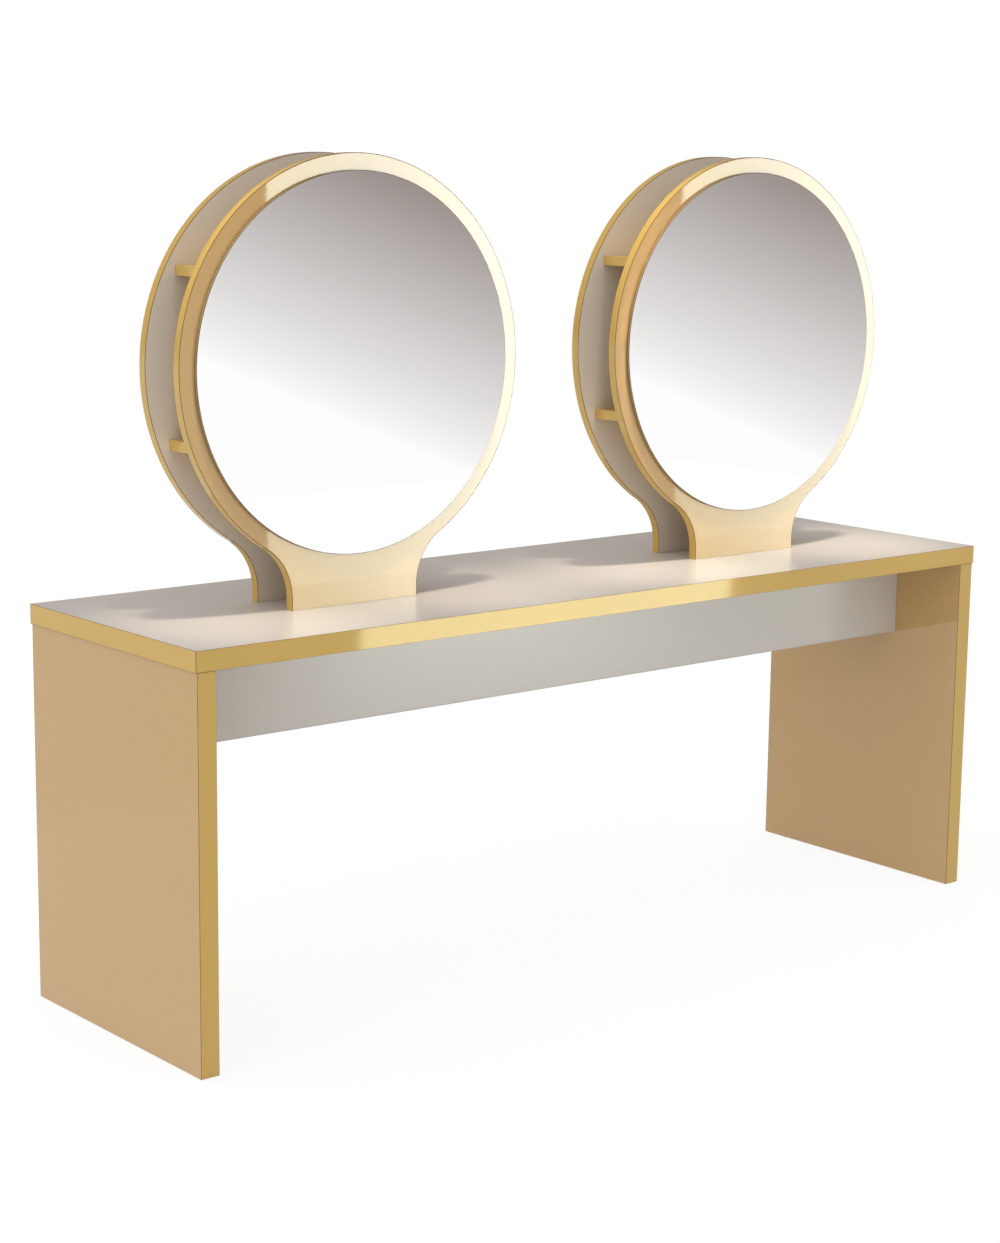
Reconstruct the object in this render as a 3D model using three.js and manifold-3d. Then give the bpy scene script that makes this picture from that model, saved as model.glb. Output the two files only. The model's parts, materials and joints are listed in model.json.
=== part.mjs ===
// A double sided salon station: a long table on two panel legs that carries two pairs of round mirrors,
// one mirror of each pair facing each side. Sizes are in millimetres and +Z is up.
// The origin is on the floor under the middle of the table. X runs along the table, and -Y is its front.
import * as THREE from 'three';
import { mergeVertices } from 'three/addons/utils/BufferGeometryUtils.js';
import Module from 'manifold-3d';

// Table
const tableLength = 2000;
const tableDepth = 560;
const tableHeight = 760;
const topThickness = 37.6;
const legThickness = 37.6;
const legEndInset = 3; // overhang of the top past a leg's outer face
const legEdgeInset = 1; // overhang of the top past a leg's front and back edge
const apronHeight = 174.5;
const apronThickness = 18;
const channelWidth = 166; // clear space between the two aprons

// Mirror units
const mirrorSpacing = 1020; // between the middles of the two units
const unitDepth = 130; // over the gold faces of a unit's two boards
const glassRadius = 350;
const glassThickness = 5;
const glassArris = 1; // bevel that takes the sharp edge off the glass
const rimWidth = 31; // gold face that shows round the glass
const rimClearance = 63; // from the table to the lowest point of the round rim
const footWidth = 287; // of a mirror board, where it stands on the table
const footFillet = 112; // hollow curve from the foot into the round rim
const mirrorBoardThickness = 18;
const faceThickness = 0.8; // gold laminate on a mirror board's outer face
const tapeRadius = 340; // outside of the ring of tape behind the glass
const tapeWidth = 30;
const tapeThickness = 2.4;
const crossBoardThickness = 19.6;
const crossBoardInset = 19; // from a cross board's end in from the rim
const upperCrossRise = 172; // middle of the upper cross board above the mirror's centre
const lowerCrossDrop = 138.5; // middle of the lower cross board below it

// Edge bands and joints
const bandThickness = 1;
const glueLine = 0.1; // between a band or laminate and its board
const seatGap = 0.3; // between boards that butt together

// Bolts that hold the mirror boards from under the table top
const boltDiameter = 6;
const boltHeadDiameter = 14;
const boltHeadHeight = 4;
const boltGrip = 28; // length inside a mirror board
const boltSpacing = 180; // between the two bolts of a board
const boltClearance = 0.6; // added to the diameter, and to the depth of the blind hole

// Steel brackets in the corners between leg, apron and top
const bracketArm = 60;
const bracketGauge = 2.5;

// Levelling feet
const floorGap = 3; // from the floor to the lower edge of a leg
const footInset = 59; // from a leg's front or back edge to the middle of a foot
const padDiameter = 26;
const padThickness = 6;
const padEdge = 1.5; // bevel round the pad
const studDiameter = 8;
const studLength = 36; // threaded length above the flange
const flangeDiameter = 16;
const flangeThickness = 3;
const studClearance = 0.8; // added to the diameter of the bore in the leg
const recessClearance = 3; // added to the pad's diameter for the recess in the leg
const boreEndRoom = 1.5; // free depth past the end of a stud

// Facets
const outlineSteps = 64; // round the rim of a mirror board
const filletSteps = 9;
const discSteps = 64;
const holeSteps = 12;
const turnedSteps = 12;
const cutOverrun = 1; // how far a cut runs past the face it breaks through
const mergeDistance = 1e-4; // vertices closer than this are one

// Levels and planes that several pieces share
const topUnderside = tableHeight - topThickness;
const legOuterX = tableLength / 2 - legEndInset;
const legInnerX = legOuterX - legThickness;
const legDepth = tableDepth - 2 * legEdgeInset;
const apronInnerY = channelWidth / 2;
const apronOuterY = apronInnerY + apronThickness;
const bandSeat = bandThickness + glueLine; // how far a board stays inside its bands
const rimRadius = glassRadius + rimWidth;
const mirrorCentreZ = rimClearance + rimRadius; // above the table
const faceY = -unitDepth / 2; // outer plane of a unit's front board
const boardOuterY = faceY + faceThickness + glueLine;
const boardInnerY = boardOuterY + mirrorBoardThickness;
const boltY = (boardOuterY + boardInnerY) / 2;

const wasm = await Module();
wasm.setup();

const station = new THREE.Group();
const ends = [['left', -1], ['right', 1]];
const sides = [['front', -1], ['back', 1]];

// Finishes, as the colour, roughness and metalness of each
const finishes = {
  whiteBoard: [0xc9c3bc, 0.42, 0],
  goldLaminate: [0xc8ab7d, 0.18, 0.25],
  goldBand: [0xc2a361, 0.22, 0.45],
  mirrorGlass: [0xdfe2e2, 0.03, 1],
  tape: [0x3a3a3c, 0.85, 0],
  zincSteel: [0xa9adb0, 0.35, 1],
  footPlastic: [0x1d1d1f, 0.6, 0],
};

function addMesh(name, finish, geometry, parent = station) {
  const [color, roughness, metalness] = finishes[finish];
  const mesh = new THREE.Mesh(geometry, new THREE.MeshStandardMaterial({ color, roughness, metalness }));
  mesh.name = name;
  parent.add(mesh);
  return mesh;
}

// A box between two planes along each axis, in any order
function boxBetween(x, y, z) {
  const spans = [x, y, z].map(([a, b]) => [Math.min(a, b), Math.max(a, b)]);
  const sizes = spans.map(([low, high]) => high - low);
  const middles = spans.map(([low, high]) => (low + high) / 2);
  return new THREE.BoxGeometry(...sizes).translate(...middles);
}

// A round hole along Z, as a cylinder to cut with
function upright(diameter, x, y, zLow, zHigh) {
  const cylinder = new THREE.CylinderGeometry(diameter / 2, diameter / 2, zHigh - zLow, holeSteps);
  return cylinder.rotateX(Math.PI / 2).translate(x, y, (zLow + zHigh) / 2);
}

// A turned piece on the Z axis, from [radius, height] points that end on the axis or close on themselves
function turned(profile, steps = turnedSteps) {
  const points = profile.map(([radius, height]) => new THREE.Vector2(radius, height));
  return new THREE.LatheGeometry(points, steps).rotateX(Math.PI / 2);
}

function solidFrom(geometry) {
  const bare = geometry.clone();
  bare.deleteAttribute('normal');
  bare.deleteAttribute('uv');
  const merged = mergeVertices(bare, mergeDistance);
  return new wasm.Manifold(new wasm.Mesh({
    numProp: 3,
    vertProperties: merged.attributes.position.array,
    triVerts: new Uint32Array(merged.index.array),
  }));
}

function geometryFrom(solid) {
  const { vertProperties, triVerts } = solid.getMesh();
  const geometry = new THREE.BufferGeometry();
  geometry.setAttribute('position', new THREE.BufferAttribute(vertProperties, 3));
  geometry.setIndex(new THREE.BufferAttribute(triVerts, 1));
  geometry.computeVertexNormals();
  return geometry;
}

function cut(geometry, tools) {
  return geometryFrom(tools.reduce((solid, tool) => solid.subtract(solidFrom(tool)), solidFrom(geometry)));
}

function join(geometries) {
  return geometryFrom(geometries.map(solidFrom).reduce((whole, piece) => whole.add(piece)));
}

function arcPoints(centreX, centreY, radius, from, to, steps) {
  const points = [];
  for (let i = 0; i <= steps; i += 1) {
    const angle = from + ((to - from) * i) / steps;
    points.push(new THREE.Vector2(centreX + radius * Math.cos(angle), centreY + radius * Math.sin(angle)));
  }
  return points;
}

// The keyhole outline of a mirror board, inset by a margin: up the right side of the foot, round the rim
// and down the left side. The fillets keep their centres, so every inset stays parallel.
function keyholeOutline(inset) {
  const half = footWidth / 2 - inset;
  const radius = rimRadius - inset;
  const fillet = footFillet + inset;
  const filletX = half + fillet;
  const filletZ = mirrorCentreZ - Math.sqrt((radius + fillet) ** 2 - filletX ** 2);
  const tangent = Math.atan2(filletZ - mirrorCentreZ, filletX);
  const rightFillet = arcPoints(filletX, filletZ, fillet, Math.PI, Math.PI + tangent, filletSteps);
  const rim = arcPoints(0, mirrorCentreZ, radius, tangent, Math.PI - tangent, outlineSteps);
  const leftFillet = rightFillet.map((p) => new THREE.Vector2(-p.x, p.y)).reverse();
  return [
    new THREE.Vector2(half, 0),
    ...rightFillet.slice(0, -1),
    ...rim,
    ...leftFillet.slice(1),
    new THREE.Vector2(-half, 0),
  ];
}

// An upright plate with the given outline in X and Z, between two planes along Y
function uprightPlate(points, yLow, yHigh) {
  const shape = new THREE.Shape(points);
  const geometry = new THREE.ExtrudeGeometry(shape, { depth: yHigh - yLow, bevelEnabled: false });
  return geometry.rotateX(Math.PI / 2).translate(0, yHigh, 0);
}

// Table top: its bands hide the core on all four edges, and the mirror bolts pass up through it
function addTableTop() {
  const halfLength = tableLength / 2;
  const halfDepth = tableDepth / 2;
  const height = [topUnderside, tableHeight];
  const coreX = halfLength - bandSeat;
  const coreY = halfDepth - bandSeat;
  const holeDiameter = boltDiameter + boltClearance;
  const holeLow = topUnderside - cutOverrun;
  const holeHigh = tableHeight + cutOverrun;
  const boltHoles = [];
  for (const [, end] of ends) {
    for (const [, side] of sides) {
      for (const step of [-1, 1]) {
        const x = (end * mirrorSpacing + step * boltSpacing) / 2;
        boltHoles.push(upright(holeDiameter, x, side * boltY, holeLow, holeHigh));
      }
    }
  }
  addMesh('table_top', 'whiteBoard', cut(boxBetween([-coreX, coreX], [-coreY, coreY], height), boltHoles));
  for (const [sideName, side] of sides) {
    const y = [side * (halfDepth - bandThickness), side * halfDepth];
    addMesh(`top_band_${sideName}`, 'goldBand', boxBetween([-halfLength, halfLength], y, height));
  }
  for (const [endName, end] of ends) {
    const x = [end * (halfLength - bandThickness), end * halfLength];
    addMesh(`top_band_${endName}`, 'goldBand', boxBetween(x, [-coreY, coreY], height));
  }
}

// Where the two feet of each leg stand
function footPlaces() {
  const x = (legOuterX + legInnerX) / 2;
  const y = legDepth / 2 - footInset;
  return ends.flatMap(([endName, end]) => sides.map(([sideName, side]) => ({
    name: `${endName}_${sideName}`,
    end,
    x: end * x,
    y: side * y,
  })));
}

const flangeZ = padThickness + seatGap; // underside of a stud's flange
const studTopZ = flangeZ + flangeThickness + studLength;
const recessTopZ = flangeZ + flangeThickness + seatGap;

function addLegs() {
  const height = [floorGap, topUnderside - seatGap];
  const halfDepth = legDepth / 2;
  for (const [endName, end] of ends) {
    const x = [end * legInnerX, end * legOuterX];
    const coreY = halfDepth - bandSeat;
    const bores = footPlaces().filter((place) => place.end === end).flatMap((place) => [
      upright(padDiameter + recessClearance, place.x, place.y, floorGap - cutOverrun, recessTopZ),
      upright(studDiameter + studClearance, place.x, place.y, floorGap, studTopZ + boreEndRoom),
    ]);
    addMesh(`leg_${endName}`, 'goldLaminate', cut(boxBetween(x, [-coreY, coreY], height), bores));
    for (const [sideName, side] of sides) {
      const y = [side * (halfDepth - bandThickness), side * halfDepth];
      addMesh(`leg_band_${endName}_${sideName}`, 'goldBand', boxBetween(x, y, height));
    }
  }
}

// A foot is a threaded stud with a flange, standing in a round pad
function addFeet() {
  const padRadius = padDiameter / 2;
  const pad = [
    [0, 0],
    [padRadius - padEdge, 0],
    [padRadius, padEdge],
    [padRadius, padThickness],
    [0, padThickness],
  ];
  const stud = [
    [0, flangeZ],
    [flangeDiameter / 2, flangeZ],
    [flangeDiameter / 2, flangeZ + flangeThickness],
    [studDiameter / 2, flangeZ + flangeThickness],
    [studDiameter / 2, studTopZ],
    [0, studTopZ],
  ];
  for (const place of footPlaces()) {
    addMesh(`foot_pad_${place.name}`, 'footPlastic', turned(pad)).position.set(place.x, place.y, 0);
    addMesh(`foot_stud_${place.name}`, 'zincSteel', turned(stud)).position.set(place.x, place.y, 0);
  }
}

function addAprons() {
  const apronTop = topUnderside - seatGap;
  const apronBottom = topUnderside - apronHeight;
  const x = [-legInnerX + seatGap, legInnerX - seatGap];
  for (const [sideName, side] of sides) {
    const y = [side * apronInnerY, side * apronOuterY];
    addMesh(`apron_${sideName}`, 'whiteBoard', boxBetween(x, y, [apronBottom + bandSeat, apronTop]));
    const band = boxBetween(x, y, [apronBottom, apronBottom + bandThickness]);
    addMesh(`apron_band_${sideName}`, 'whiteBoard', band);
  }
}

// Three steel plates at right angles, one each against a leg, an apron and the top
function addBrackets() {
  for (const [endName, end] of ends) {
    for (const [sideName, side] of sides) {
      const cornerX = legInnerX - seatGap;
      const cornerY = apronInnerY - seatGap;
      const cornerZ = topUnderside - seatGap;
      const armX = [end * cornerX, end * (cornerX - bracketArm)];
      const armY = [side * cornerY, side * (cornerY - bracketArm)];
      const armZ = [cornerZ, cornerZ - bracketArm];
      const bracket = join([
        boxBetween([end * cornerX, end * (cornerX - bracketGauge)], armY, armZ),
        boxBetween(armX, [side * cornerY, side * (cornerY - bracketGauge)], armZ),
        boxBetween(armX, armY, [cornerZ, cornerZ - bracketGauge]),
      ]);
      addMesh(`corner_bracket_${endName}_${sideName}`, 'zincSteel', bracket);
    }
  }
}

// One board of a mirror unit, made as the front one: the back one is the same, turned half round
function addMirror(name, unit, side) {
  const face = new THREE.Group();
  face.rotation.z = side > 0 ? Math.PI : 0;
  unit.add(face);

  const inner = keyholeOutline(bandSeat);
  const boltX = boltSpacing / 2;
  const blindDepth = boltGrip + boltClearance;
  const blindHoles = [-boltX, boltX].map((x) => (
    upright(boltDiameter + boltClearance, x, boltY, -cutOverrun, blindDepth)));
  const board = cut(uprightPlate(inner, boardOuterY, boardInnerY), blindHoles);
  addMesh(`mirror_board_${name}`, 'whiteBoard', board, face);
  addMesh(`mirror_face_${name}`, 'goldLaminate', uprightPlate(inner, faceY, faceY + faceThickness), face);

  const bandInside = keyholeOutline(bandThickness).reverse();
  const bandStrip = [...keyholeOutline(0), ...bandInside];
  addMesh(`mirror_band_${name}`, 'goldBand', uprightPlate(bandStrip, faceY, boardInnerY), face);

  const tapeY = faceY - glueLine;
  const glassY = tapeY - tapeThickness - glueLine;
  const tapeInside = tapeRadius - tapeWidth;
  const tape = [
    [tapeInside, 0],
    [tapeRadius, 0],
    [tapeRadius, tapeThickness],
    [tapeInside, tapeThickness],
    [tapeInside, 0],
  ];
  const glass = [
    [0, 0],
    [glassRadius, 0],
    [glassRadius, glassThickness - glassArris],
    [glassRadius - glassArris, glassThickness],
    [0, glassThickness],
  ];
  const tapeRing = turned(tape, discSteps).rotateX(Math.PI / 2);
  addMesh(`mirror_tape_${name}`, 'tape', tapeRing, face).position.set(0, tapeY, mirrorCentreZ);
  const glassDisc = turned(glass, discSteps).rotateX(Math.PI / 2);
  addMesh(`mirror_glass_${name}`, 'mirrorGlass', glassDisc, face).position.set(0, glassY, mirrorCentreZ);

  const headTop = -topThickness - 2 * seatGap;
  const bolt = [
    [0, headTop - boltHeadHeight],
    [boltHeadDiameter / 2, headTop - boltHeadHeight],
    [boltHeadDiameter / 2, headTop],
    [boltDiameter / 2, headTop],
    [boltDiameter / 2, boltGrip],
    [0, boltGrip],
  ];
  [-boltX, boltX].forEach((x, index) => {
    addMesh(`mirror_bolt_${name}_${index + 1}`, 'zincSteel', turned(bolt), face).position.set(x, boltY, 0);
  });
}

// A cross board lies flat between the two boards of a unit and stops short of the rim at both ends
function addCrossBoard(name, unit, offset) {
  const halfThickness = crossBoardThickness / 2;
  const chord = Math.sqrt(rimRadius ** 2 - (Math.abs(offset) + halfThickness) ** 2);
  const halfLength = chord - crossBoardInset;
  const halfDepth = -boardInnerY - seatGap;
  const middle = mirrorCentreZ + offset;
  const z = [middle - halfThickness, middle + halfThickness];
  addMesh(name, 'goldBand', boxBetween([-halfLength, halfLength], [-halfDepth, halfDepth], z), unit);
}

function addMirrorUnits() {
  for (const [endName, end] of ends) {
    const unit = new THREE.Group();
    unit.position.set((end * mirrorSpacing) / 2, 0, tableHeight + seatGap);
    station.add(unit);
    for (const [sideName, side] of sides) {
      addMirror(`${endName}_${sideName}`, unit, side);
    }
    addCrossBoard(`cross_board_${endName}_upper`, unit, upperCrossRise);
    addCrossBoard(`cross_board_${endName}_lower`, unit, -lowerCrossDrop);
  }
}

addTableTop();
addLegs();
addFeet();
addAprons();
addBrackets();
addMirrorUnits();

export default station;
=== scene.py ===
import json
import math

import bmesh
import bpy
from mathutils import Matrix, Vector

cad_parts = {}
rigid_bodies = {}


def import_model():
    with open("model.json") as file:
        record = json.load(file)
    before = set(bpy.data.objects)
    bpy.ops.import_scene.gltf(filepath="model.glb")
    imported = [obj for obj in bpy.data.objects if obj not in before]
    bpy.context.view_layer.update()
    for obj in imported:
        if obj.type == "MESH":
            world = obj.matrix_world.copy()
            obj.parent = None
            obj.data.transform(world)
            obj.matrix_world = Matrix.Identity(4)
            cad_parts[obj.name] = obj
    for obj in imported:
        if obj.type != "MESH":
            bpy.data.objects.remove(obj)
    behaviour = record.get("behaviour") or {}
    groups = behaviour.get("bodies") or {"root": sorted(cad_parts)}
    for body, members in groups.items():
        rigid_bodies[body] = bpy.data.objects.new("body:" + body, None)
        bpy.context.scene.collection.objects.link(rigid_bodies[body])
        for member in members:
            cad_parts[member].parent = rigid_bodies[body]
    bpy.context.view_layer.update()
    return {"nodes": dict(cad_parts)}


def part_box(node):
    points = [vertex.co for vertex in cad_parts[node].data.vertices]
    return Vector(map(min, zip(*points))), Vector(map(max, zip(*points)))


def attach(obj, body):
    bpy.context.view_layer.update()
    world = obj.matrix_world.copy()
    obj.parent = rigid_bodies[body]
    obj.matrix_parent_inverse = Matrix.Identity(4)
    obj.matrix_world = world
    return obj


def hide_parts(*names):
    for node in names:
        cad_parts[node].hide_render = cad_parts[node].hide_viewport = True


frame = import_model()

# Double sided salon station: gold laminate boards, white melamine and round mirrors, on a white studio floor
nodes = frame["nodes"]
scene = bpy.context.scene
scene.view_settings.view_transform = "Standard"
mm = 0.001
ends = ("left", "right")
sides = ("front", "back")
outward = {"front": -1, "back": 1}  # which way a side faces along Y
print("frame loaded:", len(nodes), "nodes")


def linear(hexColour):
    channels = [int(hexColour[i:i + 2], 16) / 255 for i in (0, 2, 4)]
    curve = [c / 12.92 if c <= 0.04045 else ((c + 0.055) / 1.055) ** 2.4 for c in channels]
    return (*curve, 1.0)


# adds a node with its properties; an input given as (node, output) is linked, any other is a value
def addNode(tree, kind, inputs=None, **settings):
    node = tree.nodes.new(kind)
    for key, value in settings.items():
        setattr(node, key, value)
    for key, value in (inputs or {}).items():
        if isinstance(value, tuple) and isinstance(value[0], bpy.types.Node):
            tree.links.new(value[0].outputs[value[1]], node.inputs[key])
        else:
            node.inputs[key].default_value = value
    return node


def startMaterial(name):
    material = bpy.data.materials.new(name)
    material.use_nodes = True
    material.node_tree.nodes.clear()
    return material, material.node_tree


def perMetre(sizeMm):
    return 1 / (sizeMm * mm)


# Camera

view = {
    "position": (-3.2377, -3.7666, 1.5833),
    "yaw": 39.743,  # degrees, from +Y towards +X
    "pitch": -10.549,
    "roll": 0.709,
    "photoHeight": 1243,
    "focalPixels": 2503.95,
    "sensor": 36,
}


def addCamera():
    yaw = math.radians(view["yaw"])
    pitch = math.radians(view["pitch"])
    roll = math.radians(view["roll"])
    forward = Vector((math.sin(yaw) * math.cos(pitch), math.cos(yaw) * math.cos(pitch), math.sin(pitch)))
    right = Vector((math.cos(yaw), -math.sin(yaw), 0))
    up = right.cross(forward)
    rolledRight = right * math.cos(roll) + up * math.sin(roll)
    rolledUp = up * math.cos(roll) - right * math.sin(roll)
    data = bpy.data.cameras.new("photoCamera")
    data.sensor_width = view["sensor"]
    data.lens = view["focalPixels"] / view["photoHeight"] * view["sensor"]
    camera = bpy.data.objects.new("photoCamera", data)
    axes = Matrix((rolledRight, rolledUp, -forward)).transposed().to_4x4()
    camera.matrix_world = Matrix.Translation(view["position"]) @ axes
    scene.collection.objects.link(camera)
    scene.camera = camera


addCamera()
print("camera placed")

# Materials

goldLaminateLook = {
    "deep": "cba569",
    "light": "cfa96e",
    "flakeMm": 3.0,
    "flakeSpread": (0.35, 0.65),
    "metallic": 0.03,
    "roughness": 0.4,
    "peelMm": 14,
    "peelDepthMm": 0.012,
    "peelStrength": 0.6,
    "coatRoughness": 0.03,
    "coatIor": 1.65,
}


# High-gloss gold laminate: pearl pigment under a clear melamine skin, pressed against a polished plate.
# The pigment gives a soft gold glow, the skin a sharp neutral reflection with a faint orange peel.
# The pearl flakes are about 0.1 mm and are drawn as a 3 mm mottle, so that they show at all.
def goldLaminate():
    look = goldLaminateLook
    material, tree = startMaterial("gold high-gloss laminate")
    place = addNode(tree, "ShaderNodeTexCoord")
    flake = addNode(tree, "ShaderNodeTexNoise", {
        "Vector": (place, "Object"), "Scale": perMetre(look["flakeMm"]), "Detail": 3.0})
    spread = addNode(tree, "ShaderNodeMapRange", {
        "Value": (flake, "Fac"), "From Min": look["flakeSpread"][0], "From Max": look["flakeSpread"][1]})
    colour = addNode(tree, "ShaderNodeMix", {
        0: (spread, "Result"), 6: linear(look["deep"]), 7: linear(look["light"])}, data_type="RGBA")
    peel = addNode(tree, "ShaderNodeTexNoise", {
        "Vector": (place, "Object"), "Scale": perMetre(look["peelMm"]), "Detail": 1.0})
    skin = addNode(tree, "ShaderNodeBump", {
        "Height": (peel, "Fac"), "Strength": look["peelStrength"], "Distance": look["peelDepthMm"] * mm})
    shader = addNode(tree, "ShaderNodeBsdfPrincipled", {
        "Base Color": (colour, 2), "Metallic": look["metallic"], "Roughness": look["roughness"],
        "Specular IOR Level": 0.0, "Coat Weight": 1.0, "Coat Roughness": look["coatRoughness"],
        "Coat IOR": look["coatIor"], "Coat Normal": (skin, "Normal")})
    addNode(tree, "ShaderNodeOutputMaterial", {"Surface": (shader, "BSDF")})
    return material


goldBandLook = {
    "deep": "d4ad5a",
    "light": "dab463",
    "rippleMm": 1.6,
    "rippleDepthMm": 0.004,
    "rippleStrength": 0.4,
    "roughness": 0.06,
    "ior": 1.62,
    "glint": "fffbc5",
}


# Gold ABS edge band: a lacquered foil on an extruded strip, yellower and shinier than the laminate.
# Extruding leaves a faint ripple under the foil, drawn as a fine mottle in colour and relief.
def goldBand():
    look = goldBandLook
    material, tree = startMaterial("gold foil ABS edge band")
    place = addNode(tree, "ShaderNodeTexCoord")
    ripple = addNode(tree, "ShaderNodeTexNoise", {
        "Vector": (place, "Object"), "Scale": perMetre(look["rippleMm"]), "Detail": 2.0})
    colour = addNode(tree, "ShaderNodeMix", {
        0: (ripple, "Fac"), 6: linear(look["deep"]), 7: linear(look["light"])}, data_type="RGBA")
    skin = addNode(tree, "ShaderNodeBump", {
        "Height": (ripple, "Fac"), "Strength": look["rippleStrength"],
        "Distance": look["rippleDepthMm"] * mm})
    shader = addNode(tree, "ShaderNodeBsdfPrincipled", {
        "Base Color": (colour, 2), "Roughness": look["roughness"], "Normal": (skin, "Normal"),
        "IOR": look["ior"], "Specular Tint": linear(look["glint"])})
    addNode(tree, "ShaderNodeOutputMaterial", {"Surface": (shader, "BSDF")})
    return material


milledLook = {"deep": "5a4122", "pale": "755630", "chatterMm": 1.0, "roughness": 0.5}


# Milled ABS: the rounded arris of an edge band, where the cutter has taken the foil off.
# The brown core shows there as a dull dark line.
def milledAbs():
    look = milledLook
    material, tree = startMaterial("milled brown ABS")
    place = addNode(tree, "ShaderNodeTexCoord")
    chatter = addNode(tree, "ShaderNodeTexNoise", {
        "Vector": (place, "Object"), "Scale": perMetre(look["chatterMm"]), "Detail": 2.0})
    colour = addNode(tree, "ShaderNodeMix", {
        0: (chatter, "Fac"), 6: linear(look["deep"]), 7: linear(look["pale"])}, data_type="RGBA")
    shader = addNode(tree, "ShaderNodeBsdfPrincipled", {
        "Base Color": (colour, 2), "Roughness": look["roughness"]})
    addNode(tree, "ShaderNodeOutputMaterial", {"Surface": (shader, "BSDF")})
    return material


melamineLook = {
    "shade": "d5cfc7",
    "light": "dbd6cf",
    "pearlMm": 1.8,
    "pearlDepthMm": 0.02,
    "pearlStrength": 0.25,
    "roughness": 0.26,
    "ior": 1.5,
}
# lining colours, lighter and warmer than the board's: painted warm bounce light and painted light in the
# shaded gap between the boards
liningPaintedBounceLook = {**melamineLook, "shade": "e2d6c6", "light": "e7dccd", "roughness": 0.4}


# White melamine-faced board: resin-soaked paper pressed on chipboard with a fine pearl texture.
# The pearl dimples are 0.5 mm and are drawn at 1.8 mm, so that they break up the reflections.
# The white inside the mirror boards is duller, and painted lighter and warmer: painted warm light bounced
# off the gold, and painted light in the shaded gap between the boards.
def whiteMelamine(name, look):
    material, tree = startMaterial(name)
    place = addNode(tree, "ShaderNodeTexCoord")
    pearl = addNode(tree, "ShaderNodeTexNoise", {
        "Vector": (place, "Object"), "Scale": perMetre(look["pearlMm"]), "Detail": 2.0})
    colour = addNode(tree, "ShaderNodeMix", {
        0: (pearl, "Fac"), 6: linear(look["shade"]), 7: linear(look["light"])}, data_type="RGBA")
    dimple = addNode(tree, "ShaderNodeBump", {
        "Height": (pearl, "Fac"), "Strength": look["pearlStrength"], "Distance": look["pearlDepthMm"] * mm})
    shader = addNode(tree, "ShaderNodeBsdfPrincipled", {
        "Base Color": (colour, 2), "Roughness": look["roughness"], "IOR": look["ior"],
        "Normal": (dimple, "Normal")})
    addNode(tree, "ShaderNodeOutputMaterial", {"Surface": (shader, "BSDF")})
    return material


mirrorLook = {
    "silver": "fdfdfd",
    "hazeMm": 90,
    "clear": 0.004,
    "hazy": 0.012,
}


# Silvered float glass: the silver behind the glass reflects nearly all light, with a trace of wiping haze
def silveredGlass():
    look = mirrorLook
    material, tree = startMaterial("silvered float glass")
    place = addNode(tree, "ShaderNodeTexCoord")
    haze = addNode(tree, "ShaderNodeTexNoise", {
        "Vector": (place, "Object"), "Scale": perMetre(look["hazeMm"]), "Detail": 4.0})
    roughness = addNode(tree, "ShaderNodeMapRange", {
        "Value": (haze, "Fac"), "To Min": look["clear"], "To Max": look["hazy"]})
    shader = addNode(tree, "ShaderNodeBsdfPrincipled", {
        "Base Color": linear(look["silver"]), "Metallic": 1.0, "Roughness": (roughness, "Result")})
    addNode(tree, "ShaderNodeOutputMaterial", {"Surface": (shader, "BSDF")})
    return material


# the edge colours are gold as a painted reflection of the gold board round the glass
glassEdgePaintedGoldLook = {"deep": "b09a6e", "pale": "c0ab7e", "grindMm": 1.2, "roughness": 0.12, "ior": 1.52}
glassArrisLook = {**glassEdgePaintedGoldLook, "deep": "4a4038", "pale": "63574c", "grindMm": 0.8}


# Ground and polished edge of the glass: its gold colour is a painted reflection of the gold board beside it,
# darkened by the pane's depth.
# The ground arris in front of it is duller and darker, and draws a fine line round the mirror.
def glassEdge(name, look):
    material, tree = startMaterial(name)
    place = addNode(tree, "ShaderNodeTexCoord")
    grind = addNode(tree, "ShaderNodeTexNoise", {
        "Vector": (place, "Object"), "Scale": perMetre(look["grindMm"]), "Detail": 2.0})
    colour = addNode(tree, "ShaderNodeMix", {
        0: (grind, "Fac"), 6: linear(look["deep"]), 7: linear(look["pale"])}, data_type="RGBA")
    shader = addNode(tree, "ShaderNodeBsdfPrincipled", {
        "Base Color": (colour, 2), "Roughness": look["roughness"], "IOR": look["ior"]})
    addNode(tree, "ShaderNodeOutputMaterial", {"Surface": (shader, "BSDF")})
    return material


backingLook = {"deep": "6f7375", "pale": "7b8082", "flowMm": 2.0, "roughness": 0.6}


# Mirror backing paint: curtain-coated grey, matte, with a slight flow texture
def mirrorBacking():
    look = backingLook
    material, tree = startMaterial("grey mirror backing paint")
    place = addNode(tree, "ShaderNodeTexCoord")
    flow = addNode(tree, "ShaderNodeTexNoise", {
        "Vector": (place, "Object"), "Scale": perMetre(look["flowMm"]), "Detail": 2.0})
    colour = addNode(tree, "ShaderNodeMix", {
        0: (flow, "Fac"), 6: linear(look["deep"]), 7: linear(look["pale"])}, data_type="RGBA")
    shader = addNode(tree, "ShaderNodeBsdfPrincipled", {
        "Base Color": (colour, 2), "Roughness": look["roughness"]})
    addNode(tree, "ShaderNodeOutputMaterial", {"Surface": (shader, "BSDF")})
    return material


tapeLook = {
    "deep": "2a2a2c",
    "pale": "414144",
    "cellMm": 0.8,
    "cellDepthMm": 0.1,
    "cellStrength": 0.5,
    "roughness": 0.85,
}


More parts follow.
